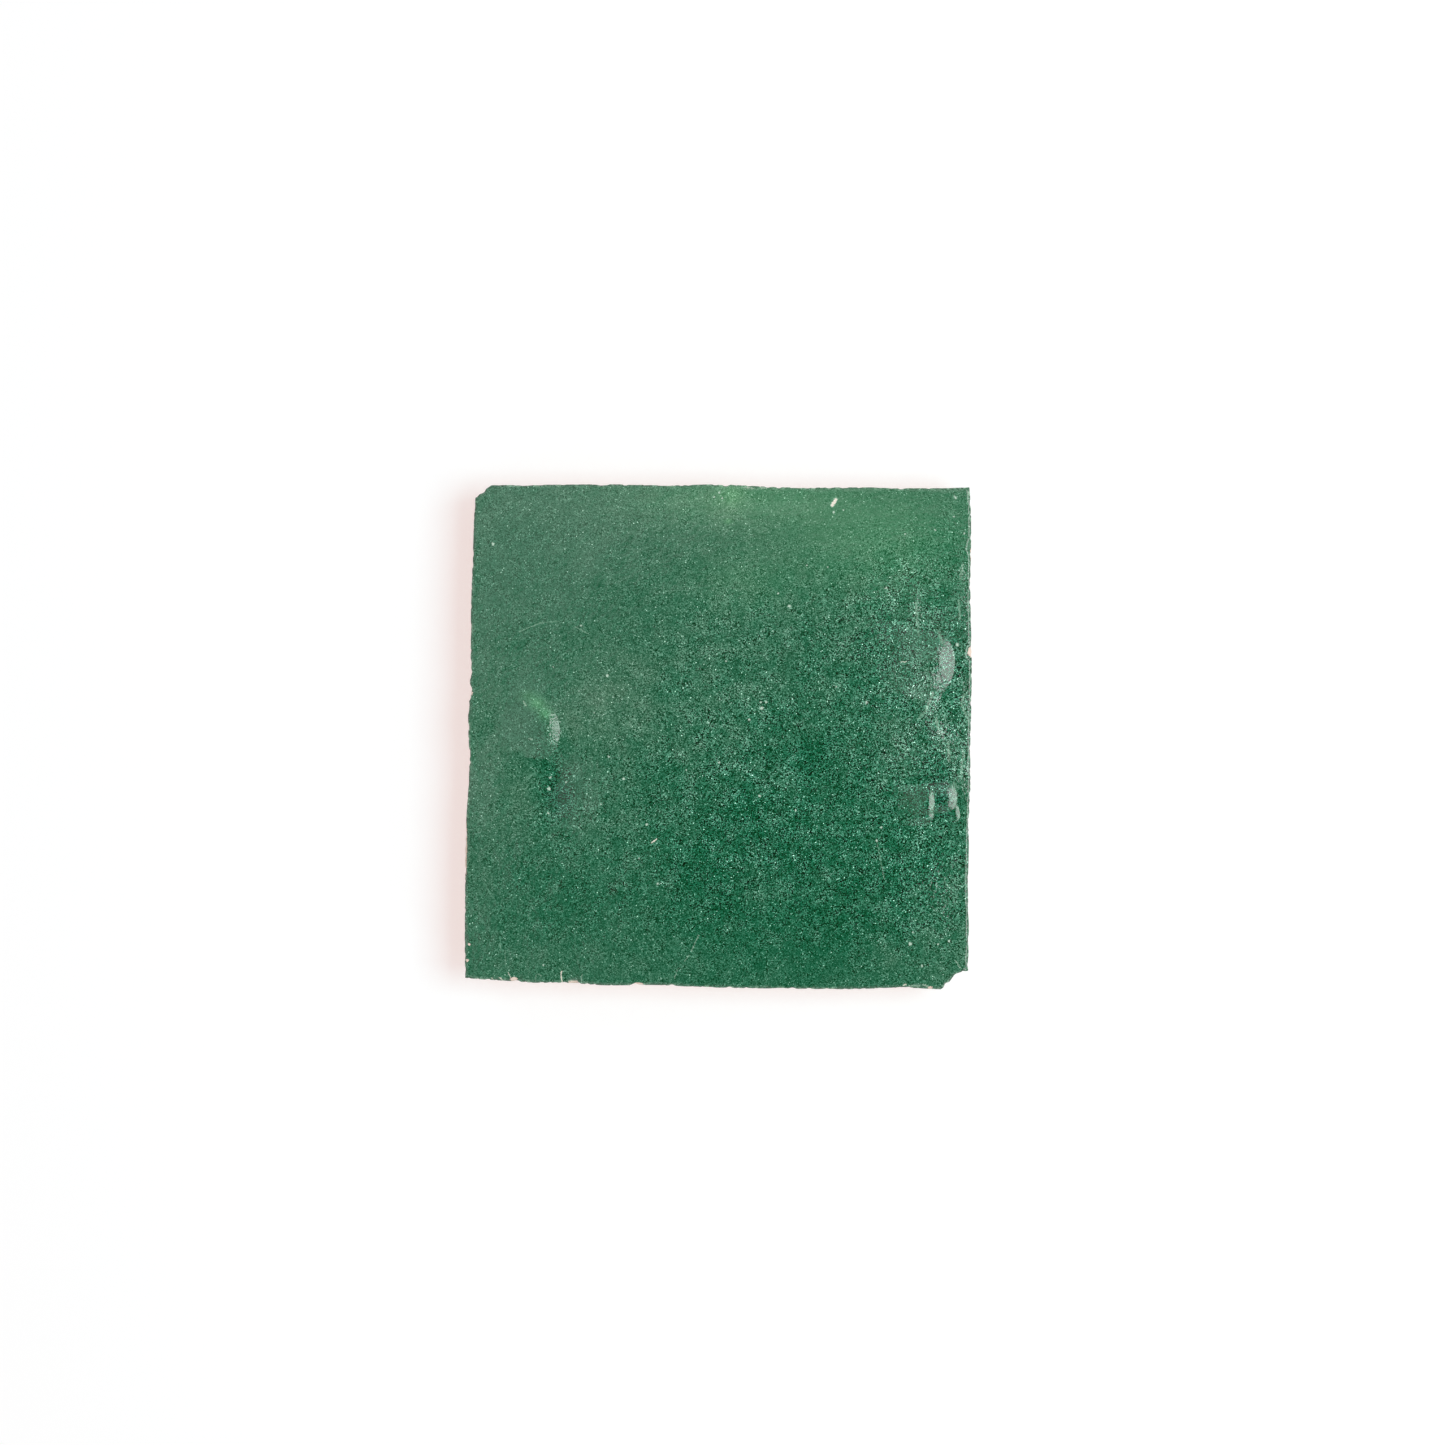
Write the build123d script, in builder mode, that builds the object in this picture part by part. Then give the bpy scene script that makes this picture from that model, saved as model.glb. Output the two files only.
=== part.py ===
from build123d import *
from math import exp
import os

# Zellige tile: a square of hard fired clay, glazed on its face and trimmed
# by hand with a chisel, so no edge is quite straight and no corner square.
# Millimetres. The tile lies on its back with the glaze up (+Z). +X runs to
# the right across the face, +Y up to the edge with the struck-off corner.

# Overall size, corner to corner
width = 100.9
depth = 100.7
thickness = 11.0

# How far the corners of the hand-cut square run off true
left_lean = 2.0
right_lean = 0.25
top_fall = 0.35
bottom_climb = 2.15

# Waves of the four cut edges: share of the way along, how far it stands out
left_waves = [
    (0.05, 0.2),
    (0.1, 0.3),
    (0.19, 0.4),
    (0.34, 0.38),
    (0.4, 0.1),
    (0.46, 0.15),
    (0.53, 0.48),
    (0.6, 0.26),
    (0.74, 0.36),
    (0.85, 0.22),
    (0.95, 0.1),
]
top_waves = [
    (0.06, 0.1),
    (0.22, 0.27),
    (0.3, 0.32),
    (0.4, 0.15),
    (0.49, 0.38),
    (0.57, 0.04),
    (0.69, -0.16),
    (0.8, -0.1),
    (0.91, -0.24),
]
right_waves = [
    (0.06, 0.33),
    (0.2, 0.24),
    (0.35, 0.54),
    (0.45, 0.45),
    (0.54, 0.3),
    (0.59, 0.36),
    (0.64, 0.15),
    (0.73, 0.04),
    (0.81, -0.1),
    (0.88, 0.1),
    (0.95, 0.0),
]
bottom_waves = [
    (0.06, 0.25),
    (0.13, 0.08),
    (0.2, 0.45),
    (0.35, 0.78),
    (0.47, 0.87),
    (0.55, 0.8),
    (0.63, 0.62),
    (0.73, 0.88),
    (0.79, 0.58),
    (0.855, 0.7),
    (0.92, 0.4),
    (0.97, 0.22),
]

# The glazed face: a low crown that rolls over a round lip at the rim
crown = 0.6
lip_radius = 0.6

# Swells and hollows of the face: across, up, reach, rise
face_swells = [
    (-33.0, 2.0, 6.0, 0.22),
    (-33.0, -8.0, 6.0, -0.24),
    (45.0, 14.0, 6.0, 0.20),
    (45.0, -12.0, 6.0, 0.18),
    (35.0, 2.0, 9.0, -0.18),
    (-22.0, 32.0, 15.0, 0.16),
    (14.0, 22.0, 16.0, -0.16),
    (12.0, -20.0, 17.0, -0.22),
    (-12.0, -36.0, 12.0, 0.16),
    (34.0, -38.0, 11.0, 0.16),
]
sections = 15
section_overhang = 4.0

# The flanks are chiselled back from a narrow band under the rim, so that
# tiles can be set edge to edge with hardly a joint
undercut = 1.6
rim_band = 2.2
back_wave_share = 0.5

# Scoops that the chisel left on the flanks: share of the way along, height
# over the back, radius of the scoop, how deep it bites
left_scoops = [
    (0.09, 2.5, 12.0, 0.5),
    (0.18, 0.5, 9.0, 0.9),
    (0.3, 3.5, 14.0, 0.5),
    (0.4, 1.0, 11.0, 0.8),
    (0.53, 2.5, 15.0, 0.6),
    (0.65, 0.0, 9.0, 1.0),
    (0.76, 3.0, 13.0, 0.5),
    (0.88, 1.0, 10.0, 0.8),
]
top_scoops = [
    (0.12, 1.5, 12.0, 0.6),
    (0.21, 3.5, 12.0, 0.4),
    (0.32, 0.5, 10.0, 0.9),
    (0.45, 3.0, 16.0, 0.5),
    (0.57, 0.5, 9.0, 0.8),
    (0.68, 2.5, 14.0, 0.6),
    (0.79, 0.5, 9.0, 1.0),
    (0.9, 3.0, 13.0, 0.5),
]
right_scoops = [
    (0.08, 1.0, 9.0, 0.7),
    (0.19, 3.0, 14.0, 0.5),
    (0.31, 1.0, 11.0, 0.9),
    (0.43, 3.5, 14.0, 0.4),
    (0.55, 0.5, 9.0, 0.9),
    (0.66, 2.5, 15.0, 0.6),
    (0.78, 0.5, 10.0, 0.8),
    (0.88, 3.0, 12.0, 0.5),
]
bottom_scoops = [
    (0.13, 1.0, 10.0, 0.8),
    (0.24, 3.0, 14.0, 0.5),
    (0.36, 0.5, 9.0, 0.9),
    (0.48, 3.0, 15.0, 0.5),
    (0.59, 1.0, 10.0, 0.8),
    (0.71, 3.5, 13.0, 0.4),
    (0.82, 0.5, 9.0, 1.0),
    (0.92, 2.5, 12.0, 0.5),
]

# Nicks right through the edge: share of the way along, radius, depth
left_nicks = [(0.58, 4.0, 0.35)]
top_nicks = []
right_nicks = [(0.637, 5.0, 0.12)]
bottom_nicks = [(0.898, 1.4, 0.3), (0.66, 2.5, 0.25)]

# Chips out of the glazed lip alone: share of the way along, radius, reach
left_chips = [(0.265, 30.0, 0.75), (0.08, 1.6, 0.7)]
top_chips = [(0.56, 5.0, 0.7)]
right_chips = [(0.33, 1.4, 0.95), (0.12, 4.0, 0.75)]
bottom_chips = [(0.785, 1.5, 1.0), (0.1, 4.0, 0.8)]

# The corner struck off at the top left
corner_cut_down = 2.4
corner_cut_across = 3.1

# The shell bitten out of the bottom right corner and the break beside it
bite_up = 3.45
bite_hollow = 0.5
bite_waist_across = 3.1
bite_waist_up = 2.25
bite_shoulder_across = 4.0
bite_shoulder_up = 1.15
bite_foot_across = 5.3

half_width = width / 2
half_depth = depth / 2
through = 2 * thickness

# Corners of the hand-cut square before it was chipped
top_left = (-half_width + left_lean, half_depth)
top_right = (half_width, half_depth - top_fall)
bottom_right = (half_width - right_lean, -half_depth)
bottom_left = (-half_width, -half_depth + bottom_climb)

# The edges run clockwise, so outwards is always to their left
edges = [
    (bottom_left, top_left, left_waves, left_scoops, left_nicks, left_chips),
    (top_left, top_right, top_waves, top_scoops, top_nicks, top_chips),
    (top_right, bottom_right, right_waves, right_scoops, right_nicks, right_chips),
    (bottom_right, bottom_left, bottom_waves, bottom_scoops, bottom_nicks, bottom_chips),
]


def edge_directions(start, end):
    """The run of an edge and the level direction out of it."""
    run = Vector(*end) - Vector(*start)
    return run, run.normalized().rotate(Axis.Z, 90)


def inset_corner(corner, inset):
    """A corner of the square moved in from both of its edges."""
    x, y = corner
    return (x - inset if x > 0 else x + inset, y - inset if y > 0 else y + inset)


def wavy_edge(start, end, waves, inset, wave_share):
    """A cut edge as a curve, set in from the rim, with its waves scaled."""
    start, end = inset_corner(start, inset), inset_corner(end, inset)
    run, outwards = edge_directions(start, end)
    bends = [Vector(*start) + run * along + outwards * out * wave_share for along, out in waves]
    return Spline(start, *bends, end)


def face_height(x, y):
    """Height of the glazed face over the back."""
    height = thickness - crown * ((x / half_width) ** 2 + (y / half_depth) ** 2) / 2
    for middle_x, middle_y, reach, rise in face_swells:
        height += rise * exp(-((x - middle_x) ** 2 + (y - middle_y) ** 2) / reach**2)
    return height


# The wavy face: a row of sections across the tile, lofted into one body
with BuildPart() as under_face:
    reach_x = half_width + section_overhang
    reach_y = half_depth + section_overhang
    steps = [2 * n / (sections - 1) - 1 for n in range(sections)]
    for share_x in steps:
        x = share_x * reach_x
        with BuildSketch(Plane.YZ.offset(x)):
            with BuildLine():
                ys = [share_y * reach_y for share_y in steps]
                face_line = Spline(*[(y, face_height(x, y)) for y in ys])
                Polyline(face_line @ 1, (reach_y, 0), (-reach_y, 0), face_line @ 0)
            make_face()
    loft()

# The outline at the rim and the smaller one at the back
with BuildSketch() as rim_outline:
    with BuildLine():
        cut_lines = [wavy_edge(*edge[:3], 0, 1) for edge in edges]
    make_face()

with BuildSketch() as back_outline:
    with BuildLine():
        for edge in edges:
            wavy_edge(*edge[:3], undercut, back_wave_share)
    make_face()

with BuildPart() as body:
    # The flanks flare from the back up to the band under the rim
    with BuildSketch():
        add(back_outline.sketch)
    with BuildSketch(Plane.XY.offset(thickness - rim_band)):
        add(rim_outline.sketch)
    loft(ruled=True)

    # The band stands straight and ends at the wavy face and its rolled lip
    with BuildSketch(Plane.XY.offset(thickness - rim_band)):
        add(rim_outline.sketch)
    extrude(amount=thickness)
    add(under_face.part, mode=Mode.INTERSECT)
    fillet(body.faces().sort_by(Axis.Z)[-1].edges(), lip_radius)

    for cut_line, edge in zip(cut_lines, edges):
        start, end, waves, scoops, nicks, chips = edge
        run, outwards = edge_directions(start, end)

        # Chisel scoops, square to the leaning flank
        up_flank = outwards * undercut + Vector(0, 0, thickness - rim_band)
        out_of_flank = outwards * (thickness - rim_band) - Vector(0, 0, undercut)
        for along, height, radius, bite in scoops:
            foot = cut_line @ along - outwards * undercut
            centre = foot + up_flank.normalized() * height
            with Locations(centre + out_of_flank.normalized() * (radius - bite)):
                Sphere(radius, mode=Mode.SUBTRACT)

        # Nicks right through the edge
        for along, radius, nick_depth in nicks:
            with Locations(cut_line @ along + outwards * (radius - nick_depth)):
                Cylinder(radius, 2 * through, mode=Mode.SUBTRACT)

        # Chips out of the lip
        for along, radius, reach in chips:
            clear = ((2 * radius**2 - reach**2) ** 0.5 - reach) / 2
            foot = cut_line @ along
            rim_point = foot + Vector(0, 0, face_height(foot.X, foot.Y))
            with Locations(rim_point + (outwards + Vector(0, 0, 1)) * clear):
                Sphere(radius, mode=Mode.SUBTRACT)

    # The struck-off corner
    with BuildSketch(Plane(Vector(*top_left))):
        Polygon(
            (-through, -corner_cut_down),
            (0, -corner_cut_down),
            (corner_cut_across, 0),
            (corner_cut_across, through),
            (-through, through),
            align=None,
        )
    extrude(amount=through, mode=Mode.SUBTRACT)

    # The bitten corner
    with BuildSketch(Plane(Vector(*bottom_right))):
        with BuildLine():
            rim_end = (bite_hollow, bite_up)
            waist = (-bite_waist_across, bite_waist_up)
            shoulder = (-bite_shoulder_across, bite_shoulder_up)
            foot_end = (-bite_foot_across, 0)
            SagittaArc(rim_end, waist, -bite_hollow)
            Polyline(
                waist,
                shoulder,
                foot_end,
                (-bite_foot_across, -through),
                (through, -through),
                (through, bite_up),
                rim_end,
            )
        make_face()
    extrude(amount=through, mode=Mode.SUBTRACT)

# The origin is under the middle of the tile, on the surface it lies on
with BuildPart() as zellige_tile:
    box = body.part.bounding_box()
    with Locations((-box.center().X, -box.center().Y, -box.min.Z)):
        add(body.part)

zellige_tile.part.label = "zellige_tile"

os.makedirs("parts", exist_ok=True)
export_step(zellige_tile.part, "parts/zellige_tile.step")
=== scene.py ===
# %% [markdown]
# A zellige is a square of hard fired clay, cut and trimmed by hand, with a
# thick green glaze melted onto its face. Nothing about it is machine-made: the
# face swells and dips, the glaze is full of fine grain, bubbles and pinholes,
# and the chisel leaves a chipped rim over rough, undercut flanks. This lesson
# lays that skin over the plain CAD tile, lights it and photographs it from
# straight above. First the CAD tile is loaded. It gives every main size.

import math

import bpy
import numpy as np
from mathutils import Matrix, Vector, noise
from mathutils.bvhtree import BVHTree


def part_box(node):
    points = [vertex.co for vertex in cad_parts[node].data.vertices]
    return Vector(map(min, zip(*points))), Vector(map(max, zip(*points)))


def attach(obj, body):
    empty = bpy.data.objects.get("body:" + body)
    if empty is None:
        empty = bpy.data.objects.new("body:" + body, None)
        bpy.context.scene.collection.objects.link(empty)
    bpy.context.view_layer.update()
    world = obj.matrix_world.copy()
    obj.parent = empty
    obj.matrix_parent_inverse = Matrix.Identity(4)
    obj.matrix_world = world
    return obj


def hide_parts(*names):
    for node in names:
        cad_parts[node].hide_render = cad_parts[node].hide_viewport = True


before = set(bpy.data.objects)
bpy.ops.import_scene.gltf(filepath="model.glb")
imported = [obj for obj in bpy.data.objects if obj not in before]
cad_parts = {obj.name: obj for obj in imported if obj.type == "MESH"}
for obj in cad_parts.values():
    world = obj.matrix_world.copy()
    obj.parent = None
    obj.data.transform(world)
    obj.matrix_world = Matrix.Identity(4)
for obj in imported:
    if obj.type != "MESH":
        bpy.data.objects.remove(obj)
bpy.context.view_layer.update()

MM = 0.001
tile_low, tile_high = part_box("zellige_tile")
print("the tile measures", [round(v / MM, 2) for v in tile_high - tile_low], "mm")

# %% [markdown]
# The skin has to sit exactly where the CAD tile is, so its points are found by
# feeling for the solid with straight lines, as a depth gauge does: level lines
# from outside find the cut edges, and upright lines find the glazed face.
# A search tree over the CAD mesh answers such questions quickly.

# %% Feel for the solid
cad_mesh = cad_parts["zellige_tile"].data
solid = BVHTree.FromPolygons(
    [v.co for v in cad_mesh.vertices],
    [list(face.vertices) for face in cad_mesh.polygons],
)
CLEAR = 0.1


def edge_at(way, height):
    """Where a level line from outside, aimed at the middle, meets the cut edge."""
    way = Vector((way[0], way[1], 0)).normalized()
    hit = solid.ray_cast(way * CLEAR + Vector((0, 0, height)), -way)[0]
    return hit.xy


def face_at(x, y):
    """Height of the CAD tile's face under a point, or nothing beside the tile."""
    hit = solid.ray_cast(Vector((x, y, CLEAR)), Vector((0, 0, -1)))[0]
    return hit.z if hit else np.nan


print("the middle of the face is", round(face_at(0, 0) / MM, 2), "mm high")

# %% [markdown]
# The points lie on square rings, one inside the other, from the middle out to
# the rim, and each ring has eight points more than the last. Scaled to fit the
# crooked outline, the rings run along the edges, so a rounded lip or a chip
# gets clean rows of points. The rows lie closer together towards the rim.

# %% Lay out rings of points
RINGS = 126
LIP_ROWS = [0, 0.05, 0.13, 0.25, 0.42, 0.65, 0.95, 1.3, 1.7]


def square_ring(size):
    """Steps round a square, anticlockwise from its lower right corner."""
    steps = range(-size, size)
    right = [(size, n) for n in steps]
    top = [(-n, size) for n in steps]
    left = [(-size, -n) for n in steps]
    bottom = [(n, -size) for n in steps]
    return (right + top + left + bottom) or [(0, 0)]


half_side = tile_high.x / MM
inner_rings = RINGS + 1 - len(LIP_ROWS)
inset = np.linspace(half_side, LIP_ROWS[-1], inner_rings + 1)
inset = np.concatenate([inset, LIP_ROWS[-2::-1]])
rim_steps = square_ring(RINGS)
print(len(rim_steps), "points round the rim,", len(inset), "rings")

# %% [markdown]
# Seen up close the rim isn't smooth: the chisel breaks the brittle glaze in
# tiny bites. A little noise along the rim does that, only ever inwards, so the
# outline keeps the size that the CAD tile gives it.

# %% Find the outline and roughen it
SILL = 9.7
FINE_BITE = 0.42
BROAD_BITE = 0.3


def grain_at(points, size, seed=0):
    """Smooth noise from -1 to 1 at points in millimetres, for grains of a size."""
    shift = Vector((17.3 * seed, 9.1 * seed, 5.7 * seed))
    return np.array([noise.noise(Vector(p) / size + shift) for p in points])


outline = np.array([edge_at(step, SILL * MM) for step in rim_steps]) / MM
square = np.array(rim_steps) / RINGS * half_side
stretch = np.linalg.norm(outline, axis=1) / np.linalg.norm(square, axis=1)

flat_outline = np.column_stack([outline, np.zeros(len(outline))])
fine_bites = np.clip(grain_at(flat_outline, 1.0, 1), 0, 1) * FINE_BITE
broad_bites = np.clip(grain_at(flat_outline, 3.1, 2) - 0.15, 0, 1) * BROAD_BITE
bites = fine_bites + broad_bites
BITE_REACH = 0.7
print("the chisel's bites are up to", round(bites.max(), 2), "mm deep")


def ring_shape(ring):
    """The points of one ring in millimetres, and the steps that lead to them."""
    steps = np.array(square_ring(ring), float)
    if ring == 0:
        return np.zeros((1, 2)), steps.astype(int)
    along = np.arange(len(steps)) * RINGS / ring
    shape = np.interp(along, range(len(stretch) + 1), np.append(stretch, stretch[0]))
    bite = np.interp(along, range(len(bites) + 1), np.append(bites, bites[0]))
    shape -= bite * math.exp(-inset[ring] / BITE_REACH) / half_side
    reach = half_side - inset[ring]
    return steps / ring * reach * shape[:, None], steps.astype(int)


# %% [markdown]
# Now each point gets its height. The CAD mesh is made of flat facets, which a
# glossy glaze would show as a cut gem does, so the heights are evened out with
# their neighbours until the face flows. The lip is rounded again afterwards,
# and wherever the CAD tile has a chip, the skin goes down into it.

# %% Raise the face
GRID = 2 * RINGS + 1
LIP_RADIUS = 0.3
EVEN_STEPS = 70

face_x = np.zeros((GRID, GRID))
face_y = np.zeros((GRID, GRID))
rim_inset = np.zeros((GRID, GRID))
for ring in range(RINGS + 1):
    points, steps = ring_shape(ring)
    at = (steps[:, 0] + RINGS, steps[:, 1] + RINGS)
    face_x[at], face_y[at] = points[:, 0], points[:, 1]
    rim_inset[at] = inset[ring]

inward = 1 - 0.02 / half_side
felt = np.array(
    [face_at(x * inward * MM, y * inward * MM) for x, y in zip(face_x.flat, face_y.flat)]
).reshape(GRID, GRID) / MM

# Past the lip rows the face is carried on straight to the rim
rows, columns = np.indices((GRID, GRID)) - RINGS
ring_of = np.maximum(abs(rows), abs(columns))
pull = np.minimum(1, (inner_rings - 1) / np.maximum(ring_of, 1))
carried = felt[
    np.rint(rows * pull).astype(int) + RINGS,
    np.rint(columns * pull).astype(int) + RINGS,
]


def evened(heights, times):
    """Heights after being averaged with their four neighbours, again and again."""
    for _ in range(times):
        wide = np.pad(heights, 1, mode="edge")
        around = wide[2:, 1:-1] + wide[:-2, 1:-1] + wide[1:-1, 2:] + wide[1:-1, :-2]
        heights = heights / 2 + around / 8
    return heights


face = evened(carried, EVEN_STEPS)
print("the face is", round(face.min(), 2), "to", round(face.max(), 2), "mm high")

# %% [markdown]
# Hand-pressed clay and flowing glaze leave ridges and hollows. The broad ones
# are shaped here: the swells under the bright patches on the right, and on the
# left a crescent with a hollow under it where the glaze pooled. Each is a soft
# mound: place, turn, half its length and width, and its rise.

# %% Shape the ridges and hollows
ridges = [
    # across, up, turn in degrees, half length, half width, rise
    (43.0, 14.2, -9, 5.5, 3.4, 0.20),
    (43.5, -12.8, 0, 4.0, 3.0, 0.12),
    (-36.6, 5.6, 40, 3.4, 1.7, 0.12),
    (-34.8, 1.5, 10, 3.0, 1.8, 0.14),
    (-32.6, -8.5, 8, 5.0, 2.6, -0.24),
    (-37.4, 3.6, 30, 2.6, 1.5, -0.08),
]
for across, up, turn, half_length, half_width, rise in ridges:
    angle = math.radians(turn)
    dx, dy = face_x - across, face_y - up
    sideways = (dx * math.cos(angle) + dy * math.sin(angle)) / half_width
    lengthways = (dy * math.cos(angle) - dx * math.sin(angle)) / half_length
    face += rise * np.exp(-(sideways**2 + lengthways**2) / 2)
print(len(ridges), "ridges and hollows; the face now reaches", round(face.max(), 2), "mm")

# %% [markdown]
# Glaze cools with a skin like an orange's: low swells a few millimetres apart
# with finer ones on top. They break up every reflection. They run stronger
# towards the right, where the glaze was thicker.

# %% Add the orange peel
BROAD_PEEL = 0.05
MIDDLE_PEEL = 0.018
FINE_PEEL = 0.006
FINE_PEEL_ON_RIGHT = 0.012
face_points = np.column_stack([face_x.ravel(), face_y.ravel(), np.zeros(face_x.size)])


def face_grain(size, seed):
    """Smooth noise over the face, for grains of a size in millimetres."""
    return grain_at(face_points, size, seed).reshape(GRID, GRID)


rightwards = np.clip((face_x - 15) / 30, 0, 1)
peel = BROAD_PEEL * face_grain(7.0, 3) + MIDDLE_PEEL * face_grain(2.8, 4)
peel += (FINE_PEEL + FINE_PEEL_ON_RIGHT * rightwards) * face_grain(1.4, 5)
face += peel * np.clip(rim_inset / 1.0, 0, 1)

CHIP_ZONE = 1.6
CHIP_DEPTH = 0.1
lip = np.clip(1 - rim_inset / LIP_RADIUS, 0, 1)
lip_drop = LIP_RADIUS * (1 - np.sqrt(1 - lip**2))
top = face - lip_drop
chipped = (rim_inset < CHIP_ZONE) & (felt < top - CHIP_DEPTH)
top = np.where(chipped, np.maximum(felt, SILL + 0.05), top)
print(int(chipped.sum()), "points lie in chips of the lip")

# %% [markdown]
# The flanks are bare clay, hewn back from the rim so that tiles can be set with
# hardly a joint. Rows of points are felt out down the CAD tile's flanks, which
# already have the chisel's scoops, and noise breaks them up into torn clay.

# %% Hew the flanks
down_shares = [0.03, 0.07, 0.12, 0.17, 0.23, 0.3, 0.37, 0.44, 0.51]
down_shares += [0.58, 0.65, 0.72, 0.79, 0.86, 0.92, 0.965, 0.99, 1.0]
rim_index = tuple((np.array(rim_steps) + RINGS).T)
rim_height = top[rim_index]
rim_points = np.column_stack([face_x[rim_index], face_y[rim_index]])
rim_ways = rim_points / np.linalg.norm(rim_points, axis=1)[:, None]

BROAD_TEAR = 0.9
MIDDLE_TEAR = 0.5
CRUMBLE = 0.10
FOOT_CLEAR = 0.03
flank_rows = []
for share in down_shares:
    heights = rim_height * (1 - share)
    row = np.array(
        [edge_at(way, max(z, FOOT_CLEAR) * MM) for way, z in zip(rim_steps, heights)]
    ) / MM
    row_points = np.column_stack([row, heights])
    torn = BROAD_TEAR * abs(grain_at(row_points, 4.2, 6))
    torn += MIDDLE_TEAR * abs(grain_at(row_points, 1.9, 7))
    torn += CRUMBLE * (1 + grain_at(row_points, 0.8, 10))
    settled = min(1, share / 0.2)
    below = rim_height * share
    row -= rim_ways * (torn * settled + bites * np.exp(-below / 0.8))[:, None]
    flank_rows.append(np.column_stack([row, heights]))
print(len(flank_rows), "rows of", len(rim_steps), "points down the flanks")

# %% [markdown]
# The back is what the tile was pressed on: flat, with shallow drags and pits.
# It needs fewer points, so three steps of the flank's last row meet one step
# of a coarser grid in a fan. The pits only go up into the clay, so the tile
# still lies flat on the table.

# %% Close the back
BACK_RINGS = RINGS // 3
BACK_GRID = 2 * BACK_RINGS + 1
BACK_INSET = 0.985

foot = flank_rows[-1]
back = np.zeros((BACK_GRID, BACK_GRID, 3))
for ring in range(1, BACK_RINGS + 1):
    steps = np.array(square_ring(ring))
    along = np.arange(len(steps)) * RINGS / ring
    for axis in (0, 1):
        closed = np.append(foot[:, axis], foot[0, axis])
        reach = np.interp(along, range(len(closed)), closed)
        back[steps[:, 0] + BACK_RINGS, steps[:, 1] + BACK_RINGS, axis] = (
            reach * ring / BACK_RINGS * BACK_INSET
        )
back_points = back.reshape(-1, 3)
DRAG_DEPTH = 0.25
PIT_DEPTH = 0.18
pits = np.clip(grain_at(back_points, 5.0, 8) - 0.1, 0, 1) * DRAG_DEPTH
pits += np.clip(grain_at(back_points, 1.7, 9) - 0.2, 0, 1) * PIT_DEPTH
back_points[:, 2] = pits
print(len(back_points), "points on the back, pits up to", round(pits.max(), 2), "mm")

# %% [markdown]
# All points are now joined into one closed mesh, as a tile is one closed lump.

# %% Join the points into a mesh
top_points = np.column_stack([face_x.ravel(), face_y.ravel(), top.ravel()])
all_points = np.concatenate([top_points, *flank_rows, back_points])


def squares(size, first, flip=False):
    """The faces of a square grid of points."""
    n = np.arange(size * size).reshape(size, size)[:-1, :-1].ravel() + first
    corners = [n, n + size, n + size + 1, n + 1]
    return np.column_stack(corners[::-1] if flip else corners).tolist()


ring_length = len(rim_steps)
rim_numbers = rim_index[0] * GRID + rim_index[1]
loops = [rim_numbers]
for row in range(len(flank_rows)):
    first = len(top_points) + row * ring_length
    loops.append(np.arange(first, first + ring_length))

faces = squares(GRID, 0)
for upper, lower in zip(loops, loops[1:]):
    strip = [upper, lower, np.roll(lower, -1), np.roll(upper, -1)]
    faces += np.column_stack(strip).tolist()

back_first = len(all_points) - len(back_points)
faces += squares(BACK_GRID, back_first, flip=True)
back_steps = np.array(square_ring(BACK_RINGS)) + BACK_RINGS
back_rim = back_steps[:, 0] * BACK_GRID + back_steps[:, 1] + back_first
for n, start in enumerate(back_rim):
    end = back_rim[(n + 1) % len(back_rim)]
    fan = [loops[-1][(3 * n + step) % ring_length] for step in range(4)]
    faces.append([int(v) for v in (*fan[::-1], start, end)])

tile_mesh = bpy.data.meshes.new("glazed_tile")
tile_mesh.from_pydata((all_points * MM).tolist(), [], faces)
tile_mesh.shade_smooth()
tile = bpy.data.objects.new("glazed_tile", tile_mesh)
bpy.context.scene.collection.objects.link(tile)
triangles = sum(len(face.vertices) - 2 for face in tile_mesh.polygons)
print("the mesh has", triangles, "triangles")

# %% [markdown]
# A material can only be as lively as what it knows about the piece, so several values are
# worked out for each point of the face. The first is how milky the glaze looks: milky at the
# top and left, with pools of deep green lower right. Part of this is the glaze's own
# cloudiness. Part is painted reflection: the pale room mirrored at the top and left, the dark
# camera stand mirrored in the deep pools, and some spots on the right painted lighter or darker
# around the lamp's bright patches. Each place is a soft spot with its own reach, and the spots
# add up.

# %% Note where the glaze is cloudy, partly painted reflection
def spotted(places, start=0.0):
    """A value over the face: a start, and a soft spot added for each place."""
    value = np.full((GRID, GRID), float(start))
    for across, up, reach_x, reach_y, more in places:
        away = ((face_x - across) / reach_x) ** 2 + ((face_y - up) / reach_y) ** 2
        value += more * np.exp(-away)
    return value


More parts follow.
